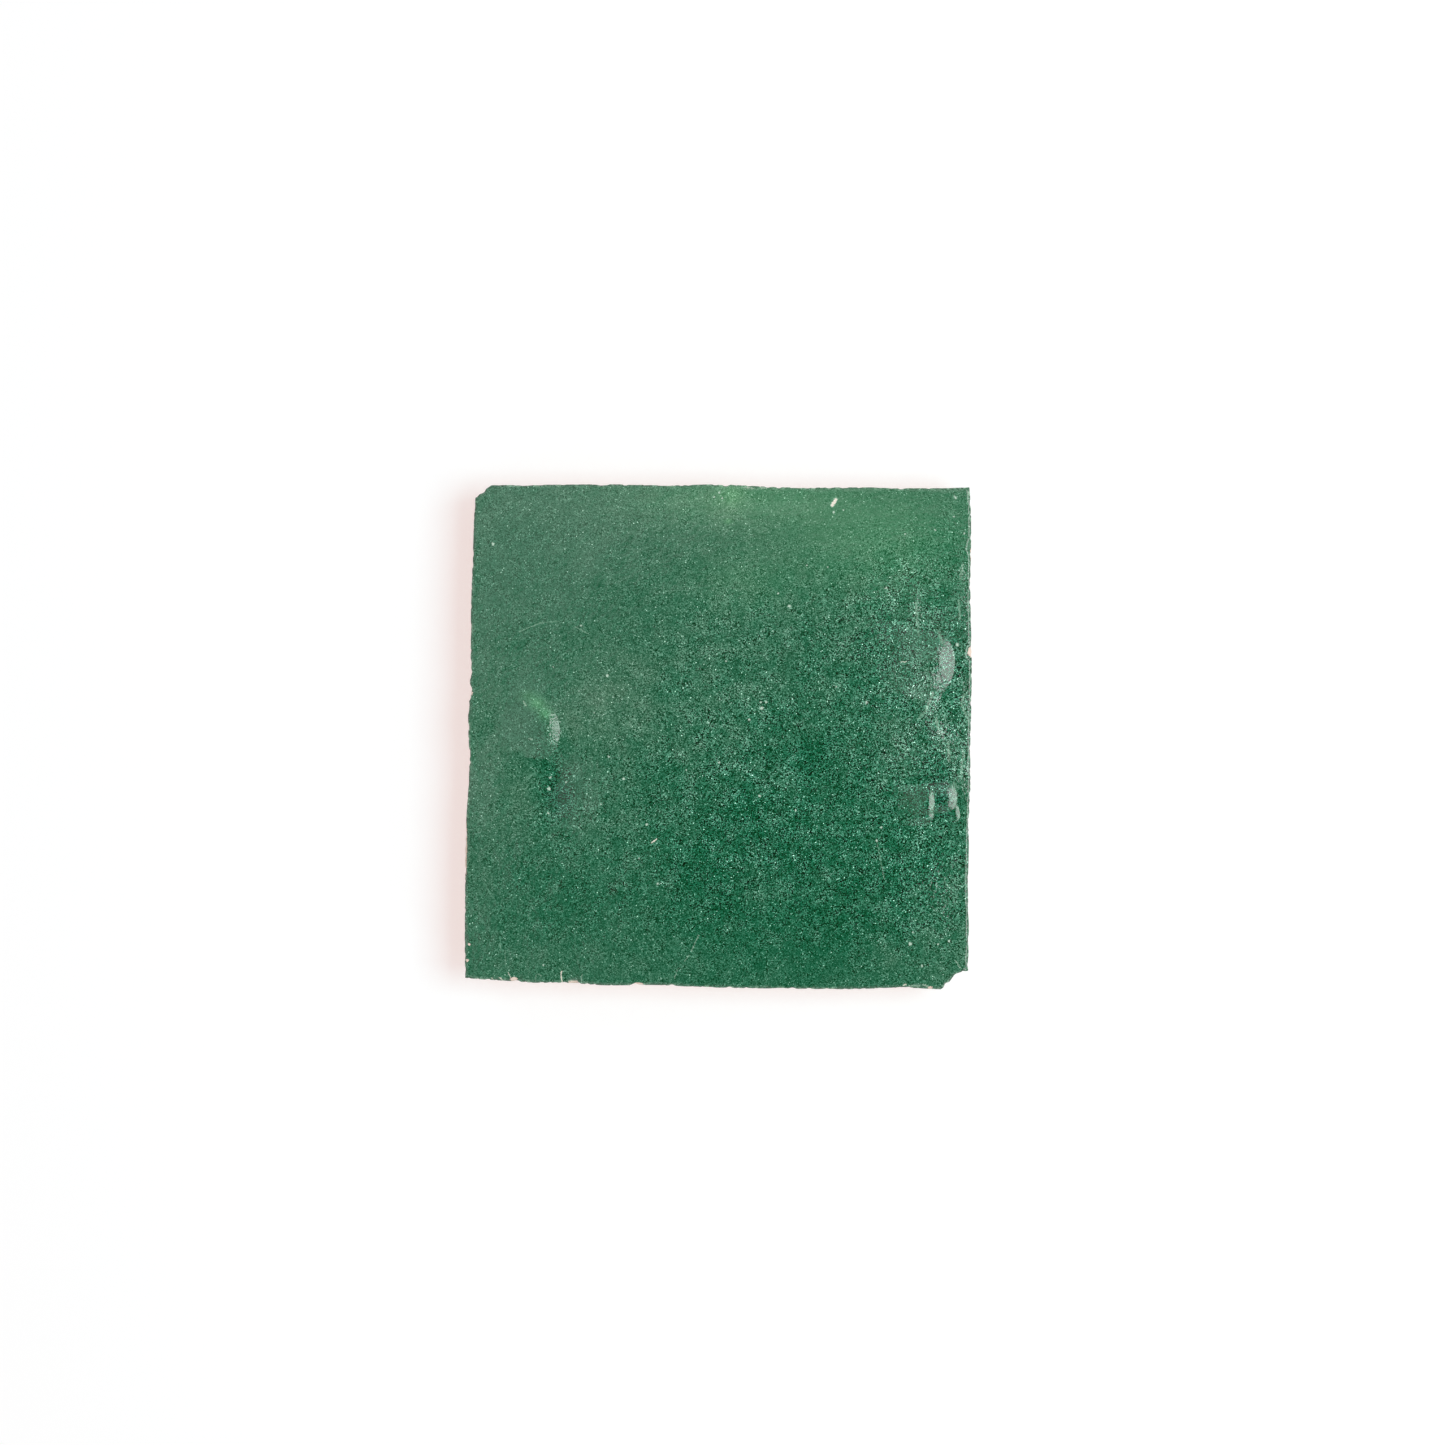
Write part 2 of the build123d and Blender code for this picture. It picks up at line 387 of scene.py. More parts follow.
cloud_and_reflection_places = [
    # across, up, reach across, reach up, how much milkier (or deeper, below 0), partly painted
    # reflection
    (0, 46, 70, 12, 0.39),
    (16, -26, 30, 22, -0.95),
    (-30, -34, 16, 8, -0.28),
    (-40, -28, 8, 4, -0.25),
    (-33, -9.5, 3.4, 8, -0.62),
    (-35.3, 1.5, 2, 4, -0.31),
    (-35, -4, 2.4, 4, -0.10),
    (-30, 3, 3.5, 5, 0.33),
    (4, 18, 5, 6, -0.10),
    (18, 19, 5, 7, -0.19),
    (9, 1, 4, 5, -0.38),
    (19, -3, 6, 5, -0.70),
    (26, 8, 6, 6, -0.22),
    (-10.5, -9.5, 6, 6, -0.19),
    (-12, 14, 6, 12, 0.11),
    (-3, -28, 5, 9, -0.34),
    (16, -23, 6, 8, -0.06),
    (10, -31, 5, 5, 0.41),
    (26, -37, 8, 6, -0.06),
    (38, -22, 6, 6, -0.31),
    (46, 13, 4, 7, -1.00),
    (43, -3, 5, 8, -0.62),
    (44, -14, 4, 5, -0.85),
    (38, 27, 6, 8, -0.46),
    (40, -34, 8, 8, -0.19),
    (30, 34, 10, 8, 0.06),
    (46, 36, 6, 8, -0.44),
    (2, 46, 4, 5, 0.28),
    (-22, 8, 8, 10, 0.51),
    (-46, 0, 5, 20, 0.23),
    (-24, -45, 20, 4, 0.12),
    (44, -42, 8, 6, 0.22),
    (5, 31, 10, 6, 0.14),
    (-30.6, -13, 2.6, 5, -0.50),
    (-21, -12.5, 4, 4, 0.20),
    (-39, -12, 3, 5, 0.25),
    (13.5, 5, 4, 4, -0.14),
    (-39, 40, 6, 5, -0.26),
    (48.5, 22.7, 3, 5, -0.30),
    (13.5, 5, 3, 4, -0.20),
    (9, -12.5, 6, 4, -0.30),
    (-47.5, -30, 4, 5, 0.30),
    (31, 40, 5, 5, -0.14),
    (42.3, -25.2, 3.2, 4.2, -0.55),
    (-9.2, 9.3, 3, 3, -0.50),
    (19.7, -28.5, 3, 3, 0.50),
    (3.1, -12.3, 3, 3, -0.45),
    (43.1, 25.1, 2.5, 3, -0.40),
    (38.2, -10.1, 3, 3, -0.40),
    (30, 17, 8, 9, -0.42),
    (38.5, 15.7, 3, 4, -0.35),
    (43.5, 6.7, 1.8, 2.2, -0.35),
    (28, 3, 3.5, 4, -0.38),
    (29, -10, 3, 3.5, -0.38),
    (16.7, 11.5, 3, 3, -0.35),
    (33.6, -44.7, 3.5, 3, 0.40),
    # painted shade that trims the lamp's bright patch here
    (44.9, -11.3, 1.6, 2.4, -0.30),
    (33, 21.3, 2.6, 2.6, -0.42),
    # painted highlight at the lamp's bright patch
    (42.2, 14.1, 1.3, 3, 0.38),
    (36.5, 6.7, 3, 3, -0.40),
    (-11.6, -21.3, 3, 3, -0.40),
]
cloud_and_reflection = spotted(cloud_and_reflection_places, 0.57)
print("cloudiness runs from", round(cloud_and_reflection.min(), 2), "to", round(cloud_and_reflection.max(), 2))

# %% [markdown]
# Where the glaze ran thin along the top edge, it is a lighter and yellower green. On the lit
# side of the crescent ridge and over its bright patch, that lighter green is painted light.
# Beside one bright patch on the right, a little painted shade trims it. On the right the glaze
# wrinkled as it cooled, in fine sharp ripples, and painted glints of the lamp follow the
# wrinkles. The grain is finest in the milky glaze and coarser elsewhere, and on the right the
# coarser grain is partly painted sparkle.

# %% Note where it is thin or painted lighter, wrinkled and coarse
thin_and_lit_places = [
    # across, up, reach across, reach up, how much thinner (or thicker, below 0)
    (2.6, 49, 2.4, 2.2, 0.43),
    (2.9, 47.2, 1.4, 1.2, 0.11),
    (2, 43.1, 0.7, 0.5, 0.70),
    # the lit side of the crescent ridge and its bright patch: painted highlight
    (-38, 8.2, 1.8, 1.1, 0.45),
    (-36.2, 6.6, 1.6, 1.2, 0.90),
    (-34.6, 4.6, 1.3, 1.2, 0.95),
    (-33.4, 1.6, 1.3, 2.6, 0.20),
    (4, 48, 20, 5, 0.44),
    (5, 31, 10, 6, 0.18),
    (34, 40, 22, 12, 0.45),
    (-31.5, -12, 2.5, 4, -0.22),
    # painted shade that trims the lamp's bright patch here
    (44.9, -11.3, 1.5, 2.6, -0.30),
]
wrinkle_and_glint_places = [
    # the same, with how much more wrinkled, and so how many painted glints
    (48.4, 32.9, 1.2, 1.8, 0.9),
    (49.2, 25.5, 1.3, 4.0, 0.7),
    (39.6, 24.9, 1.4, 3.2, 0.8),
    (34.0, 29.0, 3.0, 1.8, 0.4),
    (42.0, 6.2, 1.2, 2.6, 1.0),
    (43.8, 1.4, 1.4, 2.2, 0.8),
    (49.3, 7.0, 1.2, 4.0, 0.8),
    (46.0, -1.5, 3.0, 4.0, 0.5),
    (49.0, -8.0, 1.4, 4.0, 0.45),
    (38.0, -4.0, 6.0, 8.0, 0.25),
    (44.0, -30.0, 6.0, 10.0, 0.35),
    (-33.2, 1.0, 1.6, 3.6, 1.6),
    (43.6, 10.8, 1.8, 2.8, 0.5),
    (42.8, 8.8, 1.2, 1.8, 1.1),
    (36.0, 12.0, 6.0, 12.0, 0.25),
]
grain_places = [
    # the same, with how much coarser (or finer, below 0)
    (4, 4, 22, 18, 0.6),
    (8, -22, 30, 20, 0.8),
    (46, 0, 14, 28, 1.2),
    (38, 27, 10, 12, 0.5),
    (40, -34, 12, 12, 0.5),
    (30, 45, 20, 8, -0.3),
    (-34, -30, 18, 18, 0.2),
    (-33, -11, 4, 9, 0.5),
    (48.6, -13, 2, 4, -0.9),
    (39, -13, 2.5, 4, -0.5),
    (26, 20, 10, 12, 0.5),
    (4, 23, 12, 6, 0.35),
    (30, 0, 6, 12, 0.25),
]
thin_and_lit = spotted(thin_and_lit_places)
wrinkled_and_glinting = spotted(wrinkle_and_glint_places) + 0.12 * rightwards
grainy = spotted(grain_places, 1.0)
print("the coarsest grain is", round(grainy.max(), 2), "times the finest")

# %% [markdown]
# Last, the clay shows in the chips of the rim, and the broken edge of the glaze makes a dark
# line, which is partly painted shade. All these values are stored with the points of the mesh,
# where the material can read them.

# %% Note the chips and store it all
chips = [
    # across, up, reach along x and along y
    (50.6, 17.0, 0.75, 1.1),
    (-50.6, -22.0, 0.35, 6.5),
    (-29.0, -49.3, 1.2, 0.55),
    (-49.8, -41.5, 0.35, 0.35),
    (-50.2, -44.7, 0.35, 0.35),
    (50.7, 36.5, 0.3, 1.5),
    (42.4, -50.2, 0.5, 0.35),
    (-40.9, -48.4, 0.8, 0.4),
    (-16.0, -49.4, 1.0, 0.3),
    (-49.3, 8.7, 0.35, 0.35),
]
bare = np.zeros((GRID, GRID))
for across, up, reach_x, reach_y in chips:
    away = ((face_x - across) / reach_x) ** 2 + ((face_y - up) / reach_y) ** 2
    bare = np.maximum(bare, np.clip(1.5 - np.sqrt(away), 0, 1))


def store(name, face_values, elsewhere):
    """Keep one number for each point of the mesh, under a name."""
    values = np.full(len(all_points), float(elsewhere))
    values[: face_values.size] = face_values.ravel()
    kept = tile_mesh.attributes.new(name, "FLOAT", "POINT")
    kept.data.foreach_set("value", values.astype(np.float32))


store("cloud_and_reflection", cloud_and_reflection, 0.5)
store("bare", bare, 0)
store("thin_and_lit", thin_and_lit, 0)
store("wrinkled_and_glinting", wrinkled_and_glinting, 0.2)
store("grainy", grainy, 1.2)
EDGE_REACH = 0.22
store("edge", np.exp(-rim_inset / EDGE_REACH), 1)
print(len(chips), "chips show the clay")

# %% [markdown]
# Materials are made of small nodes joined by wires. This helper makes a node,
# fills in its settings and joins its inputs in one call, so that a recipe for
# a finish reads like a list of steps.

# %% A helper for recipes of nodes
tile_finish = bpy.data.materials.new("glazed_clay")
tile_finish.use_nodes = True
recipe = tile_finish.node_tree
recipe.nodes.clear()


def add(kind, inputs=None, **settings):
    """A node of a kind with its settings, its inputs set or joined."""
    made = recipe.nodes.new("ShaderNode" + kind)
    for name, value in settings.items():
        setattr(made, name, value)
    for name, value in (inputs or {}).items():
        if isinstance(value, bpy.types.NodeSocket):
            recipe.links.new(value, made.inputs[name])
        else:
            made.inputs[name].default_value = value
    return made


def sums(operation, first, second=0.0, third=0.0):
    """Arithmetic with two or three numbers or sockets."""
    return add("Math", {0: first, 1: second, 2: third}, operation=operation).outputs[0]


def spread(value, low, high, to_low=0.0, to_high=1.0):
    """A value stretched from one span to another, and held inside it."""
    inputs = {0: value, 1: low, 2: high, 3: to_low, 4: to_high}
    return add("MapRange", inputs).outputs[0]


def blend(share, first, second):
    """Two colours mixed by a share."""
    return add("Mix", {0: share, 6: first, 7: second}, data_type="RGBA").outputs[2]


def paint(red, green, blue):
    """A colour as a screen shows it, from 0 to 255, as light for the shader."""
    shares = [c / 255 for c in (red, green, blue)]
    light = [c / 12.92 if c < 0.04045 else ((c + 0.055) / 1.055) ** 2.4 for c in shares]
    return (*light, 1.0)


print("every step of the recipe is one line from here on")

# %% [markdown]
# Everything on the tile is drawn in its own millimetres, so that a grain has
# the same size wherever the tile lies. The noise node gives soft clouds, and
# the values that were kept with the points say where each effect belongs.

# %% Set out places and clouds
place = add("TexCoord").outputs["Object"]
place = add("VectorMath", {0: place, "Scale": 1 / MM}, operation="SCALE").outputs[0]
flat_place = add("VectorMath", {0: place, 1: (1, 1, 0)}, operation="MULTIPLY").outputs[0]


def clouded(size, detail=2.0, roughness=0.6, where=place):
    """Cloudy noise from 0 to 1 with features of a size in millimetres."""
    inputs = {"Vector": where, "Scale": 1 / size, "Detail": detail, "Roughness": roughness}
    return add("TexNoise", inputs).outputs[0]


def stored(name):
    """A value that was kept with the points."""
    return add("Attribute", attribute_name=name).outputs["Fac"]


print("the recipe starts from places in millimetres")

# %% [markdown]
# The glaze is deep green glass over a milky layer. Its colour is a sum: the deep green, what
# the milk adds to it, and what the clay adds where the glaze is thin. What the milk adds is
# partly painted reflection of the room and the camera stand. The thin share is partly painted
# light on the crescent. Islands of a few millimetres keep the milk from looking airbrushed. The
# greens are written as a screen shows them.

# %% Mix the greens of the glaze
def on_screen(red, green, blue):
    """A screen colour, from 0 to 255, as shares of one."""
    return (red / 255, green / 255, blue / 255)


def plus(first, second, share=1.0):
    """One screen colour with a share of another added."""
    part = add("VectorMath", {0: second, "Scale": share}, operation="SCALE").outputs[0]
    return add("VectorMath", {0: first, 1: part}, operation="ADD").outputs[0]


def cells(size, where=place):
    """A random number from 0 to 1 for each cell, and the way to its middle."""
    made = add("TexVoronoi", {"Vector": where, "Scale": 1 / size, "Randomness": 1.0})
    chance = add("SeparateColor", {0: made.outputs["Color"]}).outputs[0]
    return chance, made.outputs["Distance"]


coarseness = stored("grainy")
islands = spread(clouded(4.0, 3.0, 0.55), 0.38, 0.62, -0.2, 0.2)
islands = sums("MULTIPLY", islands, sums("SUBTRACT", coarseness, 0.55))
cloudiness_and_reflection = sums("ADD", stored("cloud_and_reflection"), islands)
cloudiness_and_reflection = spread(cloudiness_and_reflection, -0.5, 1.6, -0.5, 1.6)

DEEP_GREEN = on_screen(27, 95, 65)
# what the milk adds is partly painted reflection
MILK_AND_REFLECTION = on_screen(41, 20, 24)
# the thin share is partly painted light
THIN_AND_LIT_GLAZE = on_screen(26, 40, 22)
greens = plus(DEEP_GREEN, MILK_AND_REFLECTION, cloudiness_and_reflection)
greens = plus(greens, THIN_AND_LIT_GLAZE, stored("thin_and_lit"))
print("the glaze is a deep green, clouded and thinned in places")

# %% [markdown]
# Up close the glaze is a grain of dark and pale flecks, like salt and pepper. Voronoi cells
# give just that: one random number for each cell. The finest are a sixth of a millimetre wide.
# Pale flecks half as wide again crowd together in places. One in a hundred is a bright spark,
# partly a speck in the glaze and partly painted sparkle. Along the wrinkles, tall narrow flecks
# are painted glints of the lamp. Towards the right, where the grain is coarser, the pale flecks
# and sparks are brighter, which is partly painted sparkle too. Clots a millimetre wide make it
# all uneven. The grain is added to red, green and blue alike, in steps as a screen counts them,
# and a gamma step turns it to light.

# %% Sprinkle the grain
STEP = 1 / 255
SALT_SIZE = 0.16
FLECK_SIZE = 0.26
PAINTED_GLINT_SIZE = 0.36
CLOT_SIZE = 0.95

salt, _ = cells(SALT_SIZE)
unevenness = spread(clouded(2.6, 2.0, 0.6), 0.38, 0.62, 0.65, 1.35)
grain = sums("MULTIPLY", spread(salt, 0.0, 1.0, -31 * STEP, 31 * STEP), unevenness)
grain = sums("MULTIPLY", grain, sums("MULTIPLY_ADD", coarseness, 1.75, -0.75))

fleck_chance, fleck_away = cells(FLECK_SIZE)
fleck_shape = spread(fleck_away, 0.2, 0.5, 1, 0)
# sparks: partly bright specks in the glaze, partly painted sparkle
sparks = sums("MULTIPLY", spread(fleck_chance, 0.988, 0.994), fleck_shape)
sparks = sums("MULTIPLY", sparks, sums("MULTIPLY_ADD", coarseness, 60 * STEP, 0.0))
crowding = spread(clouded(2.2, 3.0, 0.6), 0.38, 0.62, -0.10, 0.10)
crowding = sums("MULTIPLY", crowding, sums("SUBTRACT", coarseness, 0.9))
fleck_chance = sums("ADD", fleck_chance, crowding)
flecks = sums("MULTIPLY", spread(fleck_chance, 0.78, 1.0), fleck_shape)
flecks = sums("MULTIPLY", flecks, sums("MULTIPLY_ADD", coarseness, 52 * STEP, 47 * STEP))
grain = sums("ADD", sums("ADD", grain, flecks), sparks)

# painted glints: bright streaks of the lamp along the wrinkles
painted_glint_place = add("VectorMath", {0: place, 1: (1, 0.4, 1)}, operation="MULTIPLY").outputs[0]
painted_glint_chance, painted_glint_away = cells(PAINTED_GLINT_SIZE, painted_glint_place)
painted_glint_shape = spread(painted_glint_away, 0.15, 0.5, 1, 0)
painted_glints = sums("MULTIPLY", spread(painted_glint_chance, 0.6, 0.95), painted_glint_shape)
painted_glints = sums("MULTIPLY", painted_glints, sums("MULTIPLY", stored("wrinkled_and_glinting"), 110 * STEP))
painted_glints = sums("MULTIPLY", painted_glints, sums("SUBTRACT", coarseness, 0.9))
grain = sums("ADD", grain, painted_glints)

clots = spread(clouded(CLOT_SIZE, 2.0, 0.6), 0.38, 0.62, -6 * STEP, 6 * STEP)
clots = sums("MULTIPLY", clots, sums("SUBTRACT", coarseness, 0.7))
grain = sums("ADD", grain, clots)

greens = plus(greens, (1.05, 1.05, 1.05), grain)
greens = add("VectorMath", {0: greens, 1: (0, 0, 0)}, operation="MAXIMUM").outputs[0]
glaze_colour = add("Gamma", {0: greens, 1: 2.2}).outputs[0]
print("the grain has salt, flecks, sparks, glints and clots")

# %% [markdown]
# Bubbles that burst in the kiln leave pinholes and white dots. Each is drawn
# where it is on the tile: a dot is all that lies nearer than its size to its
# middle. A little noise added to the place makes it a ragged dot.

# %% Dot the glaze
dots = [
    # across, up, size: burst bubbles, white in the middle
    (-33.6, -8.1, 0.24), (-33.8, -10.4, 0.42), (-30.4, -9.1, 0.26), (-34.0, -15.3, 0.28),
    (-22.2, 12.2, 0.34), (-24.8, 4.9, 0.22), (-21.9, -4.0, 0.28), (-18.9, -8.4, 0.3),
    (-23.4, -13.4, 0.24), (-14.3, -17.5, 0.3), (-15.8, -24.3, 0.24), (-12.1, -29.3, 0.26),
    (-6.4, -6.7, 0.2), (0.2, -5.1, 0.28), (1.6, 15.1, 0.24), (6.2, 3.4, 0.3),
    (8.7, 5.7, 0.42), (8.5, 6.9, 0.24), (12.0, 28.7, 0.28), (14.2, 26.1, 0.34),
    (17.7, 34.3, 0.22), (21.9, 34.0, 0.22), (8.3, -11.8, 0.28), (15.5, -14.7, 0.24),
    (23.6, 10.0, 0.24), (29.7, 6.9, 0.3), (32.6, -18.1, 0.28), (31.7, -20.7, 0.3),
    (38.4, -41.4, 0.4), (39.0, -39.1, 0.26), (44.0, -41.5, 0.24), (46.2, -40.9, 0.28),
    (40.8, -45.8, 0.26), (47.5, 47.8, 0.28), (47.2, 48.1, 0.2), (47.1, 44.0, 0.26),
    (50.2, 42.0, 0.22), (49.2, 40.7, 0.24), (43.4, 41.3, 0.22), (37.4, 40.5, 0.2),
    (47.8, 18.4, 0.4), (-45.0, 38.6, 0.4), (23.1, 44.9, 0.3), (25.0, 45.3, 0.24),
    (-27.4, 22.2, 0.26), (9.6, 6.9, 0.3), (33.6, 29.7, 0.3), (-0.8, 48.0, 0.22),
    (0.2, 48.8, 0.24), (0.8, 47.7, 0.22), (-35.0, -45.6, 0.24), (-33.0, 14.0, 0.2),
]
wobble = add("TexNoise", {"Vector": place, "Scale": 2.2, "Detail": 1.0}).outputs["Color"]
wobble = add("VectorMath", {0: wobble, 1: (0.5, 0.5, 0.5)}, operation="SUBTRACT").outputs[0]
wobble = add("VectorMath", {0: wobble, "Scale": 0.5}, operation="SCALE").outputs[0]
drawn_place = add("VectorMath", {0: flat_place, 1: wobble}, operation="ADD").outputs[0]
drawn_place = add("VectorMath", {0: drawn_place, 1: (1, 1, 0)}, operation="MULTIPLY").outputs[0]

nearest_dot = 1.0
for across, up, size in dots:
    away = add("VectorMath", {0: drawn_place, 1: (across, up, 0)}, operation="DISTANCE")
    sizes_away = sums("MULTIPLY", away.outputs["Value"], 1 / size)
    nearest_dot = sums("MINIMUM", nearest_dot, sizes_away)
dotted = spread(nearest_dot, 0.45, 1.0, 1, 0)
print(len(dots), "dots")

# %% [markdown]
# Handling leaves hairline scratches. Each is all that lies nearer than its width to a line. The
# strongest reach the pale clay, and the faint ones only whiten the glaze. The pale veins along
# the wrinkles on the right are drawn the same way, but they are painted glints of the lamp. Two
# broad strokes there are painted highlight over the bright patches.

# %% Scratch the glaze and paint the glints
scratches_and_glints = [
    # from across, up, to across, up, half width, strength
    (22.8, 46.3, 23.5, 47.4, 0.34, 1.0),
    (36.5, 14.9, 37.6, 15.1, 0.10, 0.8),
    (-3.9, -39.7, -5.4, -42.9, 0.07, 0.5),
    (-5.8, -43.7, -6.8, -44.9, 0.07, 0.45),
    (-8.0, -46.3, -8.8, -48.3, 0.06, 0.4),
    (31.7, -20.7, 33.2, -28.5, 0.10, 0.28),
    (-43.6, -41.3, -43.6, -43.1, 0.06, 0.3),
    (-42.6, -42.7, -42.6, -45.7, 0.06, 0.25),
    (-38.9, 7.1, -38.5, 6.2, 0.14, 0.6),
    (-37.9, -0.3, -37.2, -0.5, 0.14, 0.5),
    (-39.8, 21.0, -35.6, 22.8, 0.11, 0.38),
    (-35.6, 22.8, -32.0, 23.1, 0.11, 0.30),
    (-28.6, 22.0, -26.0, 20.6, 0.11, 0.34),
    (-36.5, -47.5, -36.5, -49.4, 0.07, 0.45),
    (-31.4, -46.9, -31.3, -49.6, 0.12, 0.9),
    (-27.3, -47.4, -27.4, -49.8, 0.07, 0.5),
    (-30.2, -49.4, -29.7, -48.8, 0.10, 0.8),
    (-29.7, -48.8, -28.4, -48.7, 0.10, 0.8),
    (-28.4, -48.7, -27.9, -49.3, 0.10, 0.8),
    (-13.3, -21.2, -12.3, -20.4, 0.13, 0.9),
    (-45.3, -48.2, -44.9, -48.6, 0.09, 0.8),
    (-43.9, -48.1, -43.0, -48.7, 0.10, 0.8),
    (-42.1, -47.2, -41.5, -48.1, 0.09, 0.8),
    (-36.0, -47.4, -35.4, -47.8, 0.08, 0.5),
    (47.5, -44.8, 48.3, -46.2, 0.10, 0.5),
    (5.2, 49.9, 7.0, 49.7, 0.16, 0.7),
    (8.4, 49.9, 9.6, 49.7, 0.16, 0.7),
    (50.0, 48.4, 50.3, 49.6, 0.18, 0.6),
    (37.0, -49.7, 37.5, -49.5, 0.16, 0.8),
    (38.2, -49.8, 40.2, -49.8, 0.16, 0.5),
    (41.0, -49.6, 41.9, -49.9, 0.20, 0.6),
    # from here on: pale veins and strokes on the right, painted glints and painted highlight of
    # the lamp
    (39.6, 26.8, 39.7, 24.4, 0.26, 0.38),
    (39.7, 24.4, 40.1, 20.2, 0.20, 0.30),
    (48.1, 27.3, 48.3, 23.7, 0.22, 0.34),
    (49.0, 34.5, 48.4, 31.5, 0.20, 0.42),
    (44.1, 21.1, 44.8, 18.8, 0.24, 0.34),
    (42.9, 8.7, 41.5, 5.2, 0.28, 0.42),
    (41.5, 5.2, 40.1, 3.7, 0.20, 0.32),
    (43.6, 3.7, 44.3, 0.5, 0.22, 0.40),
    (46.0, -1.0, 46.2, -4.7, 0.24, 0.40),
    (49.0, -2.8, 48.6, -7.5, 0.20, 0.36),
    (42.8, -11.3, 42.6, -15.6, 0.40, 0.32),
    (47.2, -9.6, 47.3, -13.8, 0.50, 0.22),
    (47.9, -14.2, 48.2, -16.2, 0.22, 0.36),
    (49.2, 8.5, 48.6, 6.6, 0.22, 0.40),
    (48.6, 6.6, 50.0, 3.3, 0.20, 0.36),
]

scratched_and_glinting = 0.0
for across, up, end_across, end_up, width, strength in scratches_and_glints:
    line = (end_across - across, end_up - up, 0)
    start = add(
        "VectorMath", {0: drawn_place, 1: (across, up, 0)}, operation="SUBTRACT"
    ).outputs[0]
    along = add("VectorMath", {0: start, 1: line}, operation="DOT_PRODUCT").outputs["Value"]
    along = sums("MULTIPLY", along, 1 / (line[0] ** 2 + line[1] ** 2))
    along = sums("MINIMUM", sums("MAXIMUM", along, 0.0), 1.0)
    foot_point = add("VectorMath", {0: line, "Scale": along}, operation="SCALE").outputs[0]
    away = add("VectorMath", {0: start, 1: foot_point}, operation="DISTANCE").outputs["Value"]
    mark = sums("MULTIPLY_ADD", away, -1.25 * strength / width, 1.75 * strength)
    scratched_and_glinting = sums("MAXIMUM", scratched_and_glinting, sums("MINIMUM", mark, strength))

# the whitened colour serves faint scratches and the painted glints
WHITENED_AND_GLINT = paint(170, 220, 190)
BARE_CLAY = paint(244, 236, 220)
DOT_WHITE = paint(205, 236, 214)
patchy = sums("MAXIMUM", spread(salt, 0.2, 0.8, 0.5, 1.0), spread(scratched_and_glinting, 0.6, 0.8))
scratched_and_glinting = sums("MULTIPLY", scratched_and_glinting, patchy)
scratch_and_glint_colour = blend(spread(scratched_and_glinting, 0.3, 0.9), WHITENED_AND_GLINT, BARE_CLAY)
glaze_colour = blend(scratched_and_glinting, glaze_colour, scratch_and_glint_colour)
glaze_colour = blend(sums("MULTIPLY", dotted, 0.85), glaze_colour, DOT_WHITE)
print(len(scratches_and_glints), "scratches and veins")

# %% [markdown]
# The clay is cream with a touch of pink, with darker grit and open pores. It
# shows on the flanks and back, and where the rim is chipped. The glaze ends in
# a torn line a little way down the edge, and looks darkest there, where it is
# thick and turns away from the light.

# %% Mix the clay and set it against the glaze
CREAM = paint(234, 214, 196)
PALE_CREAM = paint(248, 232, 218)
GRIT = paint(190, 158, 132)
STAIN = paint(218, 188, 160)
clay_colour = blend(spread(clouded(3.0, 4.0, 0.6), 0.3, 0.7), CREAM, PALE_CREAM)
grit = add("TexVoronoi", {"Vector": place, "Scale": 1.1}).outputs["Distance"]
gritty = sums("MULTIPLY", spread(grit, 0.1, 0.22, 1, 0), 0.45)
clay_colour = blend(gritty, clay_colour, GRIT)
stained = spread(clouded(8.0, 3.0, 0.5), 0.5, 0.75, 0.0, 0.3)
clay_colour = blend(stained, clay_colour, STAIN)

height = add("SeparateXYZ", {0: place}).outputs[2]
torn_line = spread(clouded(0.7, 3.0, 0.7), 0.3, 0.7, -0.35, 0.35)
torn_line = sums("ADD", torn_line, spread(clouded(4.0, 1.0, 0.5), 0.3, 0.7, -0.3, 0.3))
GLAZE_END = 9.55
over_line = sums("SUBTRACT", height, sums("ADD", torn_line, GLAZE_END))
below = spread(over_line, -0.04, 0.04, 1, 0)
ragged = spread(clouded(0.5, 3.0, 0.7), 0.3, 0.7, -0.3, 0.3)
chip = spread(sums("ADD", stored("bare"), ragged), 0.45, 0.6)
clay_shows = sums("MAXIMUM", below, chip)

# partly painted shade: the rim of the glaze is darkened where the thick glaze turns away from
# the light
dark_edge = sums("MULTIPLY", stored("edge"), spread(clouded(1.6, 2.0, 0.6), 0.4, 0.6, 0.2, 0.9))
splinters = spread(clouded(0.8, 1.0, 0.5), 0.53, 0.6)
DARK_EDGE = paint(44, 66, 46)
SPLINTERS = paint(170, 210, 180)
edge_colour = blend(splinters, DARK_EDGE, SPLINTERS)
glaze_colour = blend(dark_edge, glaze_colour, edge_colour)
surface_colour = blend(clay_shows, glaze_colour, clay_colour)
print("the glaze ends about", GLAZE_END, "mm over the table")

# %% [markdown]
# The sharpest ridges of the glaze are too fine for the mesh, so the finish
# draws them. Where a run of glaze stopped, it stands like half a dome: it
# rises slowly from the left and ends in a sharp curved brim on the right. The
# lamp is mirrored in its right half, so the bright patch has a crisp border
# there and a soft one on the left, as in the photograph.

